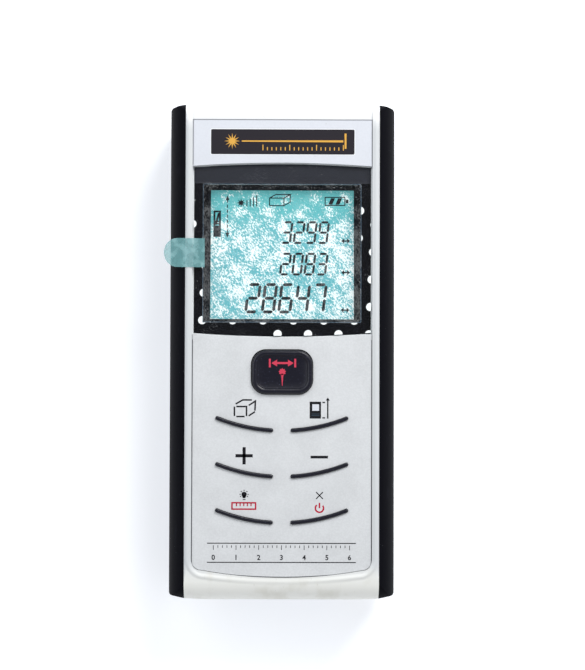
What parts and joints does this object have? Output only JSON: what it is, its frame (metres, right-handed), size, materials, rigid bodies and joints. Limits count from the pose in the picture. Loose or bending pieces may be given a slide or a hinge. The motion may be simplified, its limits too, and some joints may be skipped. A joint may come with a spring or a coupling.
{
  "type": "laser distance meter",
  "caption": "Pocket laser distance meter with a framed display, a large measuring button, small function keys, rubber side grips and a sliding battery cover.",
  "frame": {"origin": "centre of the flat back, midway along the length", "axes": "+Y out of the nose, where the beam leaves; +Z out of the display face; +X to the right of a person who reads the display"},
  "size_m": [0.0512, 0.11, 0.027],
  "materials": {
    "white_shell": "satin",
    "black_grip": "matte",
    "badge_print": "satin",
    "panel_print": "satin",
    "window_clear": "gloss",
    "film_clear": "gloss",
    "key_rubber": "satin",
    "mat_rubber": "matte",
    "circuit_board": "satin",
    "lcd_glass": "gloss",
    "light_guide": "gloss",
    "black_plastic": "matte",
    "zebra_rubber": "matte",
    "foam": "matte",
    "lens_glass": "polished",
    "filter_glass": "polished",
    "brass_tube": "satin",
    "can_metal": "satin",
    "contact_metal": "satin",
    "screw_steel": "satin",
    "flex_film": "satin",
    "chip_resin": "matte",
    "cell_sleeve": "satin",
    "cover_plastic": "satin",
    "label_sheet": "matte"
  },
  "bodies": {
    "housing": {"front_shell": "white_shell", "rear_shell": "white_shell", "left_grip": "black_grip", "right_grip": "black_grip", "badge_panel": "badge_print", "key_panel": "panel_print", "display_window": "window_clear", "window_film": "film_clear", "keypad_mat": "mat_rubber", "main_board": "circuit_board", "lcd_frame": "black_plastic", "lcd_glass": "lcd_glass", "backlight": "light_guide", "zebra_strip": "zebra_rubber", "lcd_gasket": "foam", "optics_bezel": "black_plastic", "exit_window": "lens_glass", "receiver_lens": "lens_glass", "optics_block": "black_plastic", "laser_barrel": "brass_tube", "collimator_lens": "lens_glass", "laser_diode": "can_metal", "receiver_filter": "filter_glass", "photodiode": "can_metal", "optics_board": "circuit_board", "flex_cable": "flex_film", "flex_connector": "chip_resin", "processor": "chip_resin", "shield_can": "can_metal", "buzzer": "black_plastic", "battery_left": "cell_sleeve", "battery_right": "cell_sleeve", "tail_contact": "contact_metal", "nose_contact_left": "contact_metal", "nose_contact_right": "contact_metal", "contact_spring_left": "contact_metal", "contact_spring_right": "contact_metal", "rear_label": "label_sheet", "shell_screw_1": "screw_steel", "board_screw_1": "screw_steel", "shell_screw_2": "screw_steel", "board_screw_2": "screw_steel", "shell_screw_3": "screw_steel", "board_screw_3": "screw_steel", "shell_screw_4": "screw_steel", "board_screw_4": "screw_steel", "optics_screw_1": "screw_steel", "optics_screw_2": "screw_steel"},
    "measure_button_body": {"measure_button": "key_rubber"},
    "volume_key_body": {"volume_key": "key_rubber"},
    "reference_key_body": {"reference_key": "key_rubber"},
    "plus_key_body": {"plus_key": "key_rubber"},
    "minus_key_body": {"minus_key": "key_rubber"},
    "unit_key_body": {"unit_key": "key_rubber"},
    "off_key_body": {"off_key": "key_rubber"},
    "battery_cover_body": {"battery_cover": "cover_plastic", "cover_pad": "foam"}
  },
  "joints": [
    {"name": "measure_button_press", "type": "slide", "parent": "housing", "child": "measure_button_body", "axis": [0, 0, -1], "range_m": [0, 0.0006], "stiffness_N_per_m": 1500, "springref_m": -0.0003},
    {"name": "volume_key_press", "type": "slide", "parent": "housing", "child": "volume_key_body", "axis": [0, 0, -1], "range_m": [0, 0.0006], "stiffness_N_per_m": 1200, "springref_m": -0.0003},
    {"name": "reference_key_press", "type": "slide", "parent": "housing", "child": "reference_key_body", "axis": [0, 0, -1], "range_m": [0, 0.0006], "stiffness_N_per_m": 1200, "springref_m": -0.0003},
    {"name": "plus_key_press", "type": "slide", "parent": "housing", "child": "plus_key_body", "axis": [0, 0, -1], "range_m": [0, 0.0006], "stiffness_N_per_m": 1200, "springref_m": -0.0003},
    {"name": "minus_key_press", "type": "slide", "parent": "housing", "child": "minus_key_body", "axis": [0, 0, -1], "range_m": [0, 0.0006], "stiffness_N_per_m": 1200, "springref_m": -0.0003},
    {"name": "unit_key_press", "type": "slide", "parent": "housing", "child": "unit_key_body", "axis": [0, 0, -1], "range_m": [0, 0.0006], "stiffness_N_per_m": 1200, "springref_m": -0.0003},
    {"name": "off_key_press", "type": "slide", "parent": "housing", "child": "off_key_body", "axis": [0, 0, -1], "range_m": [0, 0.0006], "stiffness_N_per_m": 1200, "springref_m": -0.0003},
    {"name": "battery_cover_slide", "type": "slide", "parent": "housing", "child": "battery_cover_body", "axis": [0, -1, 0], "range_m": [0, 0.054]}
  ]
}
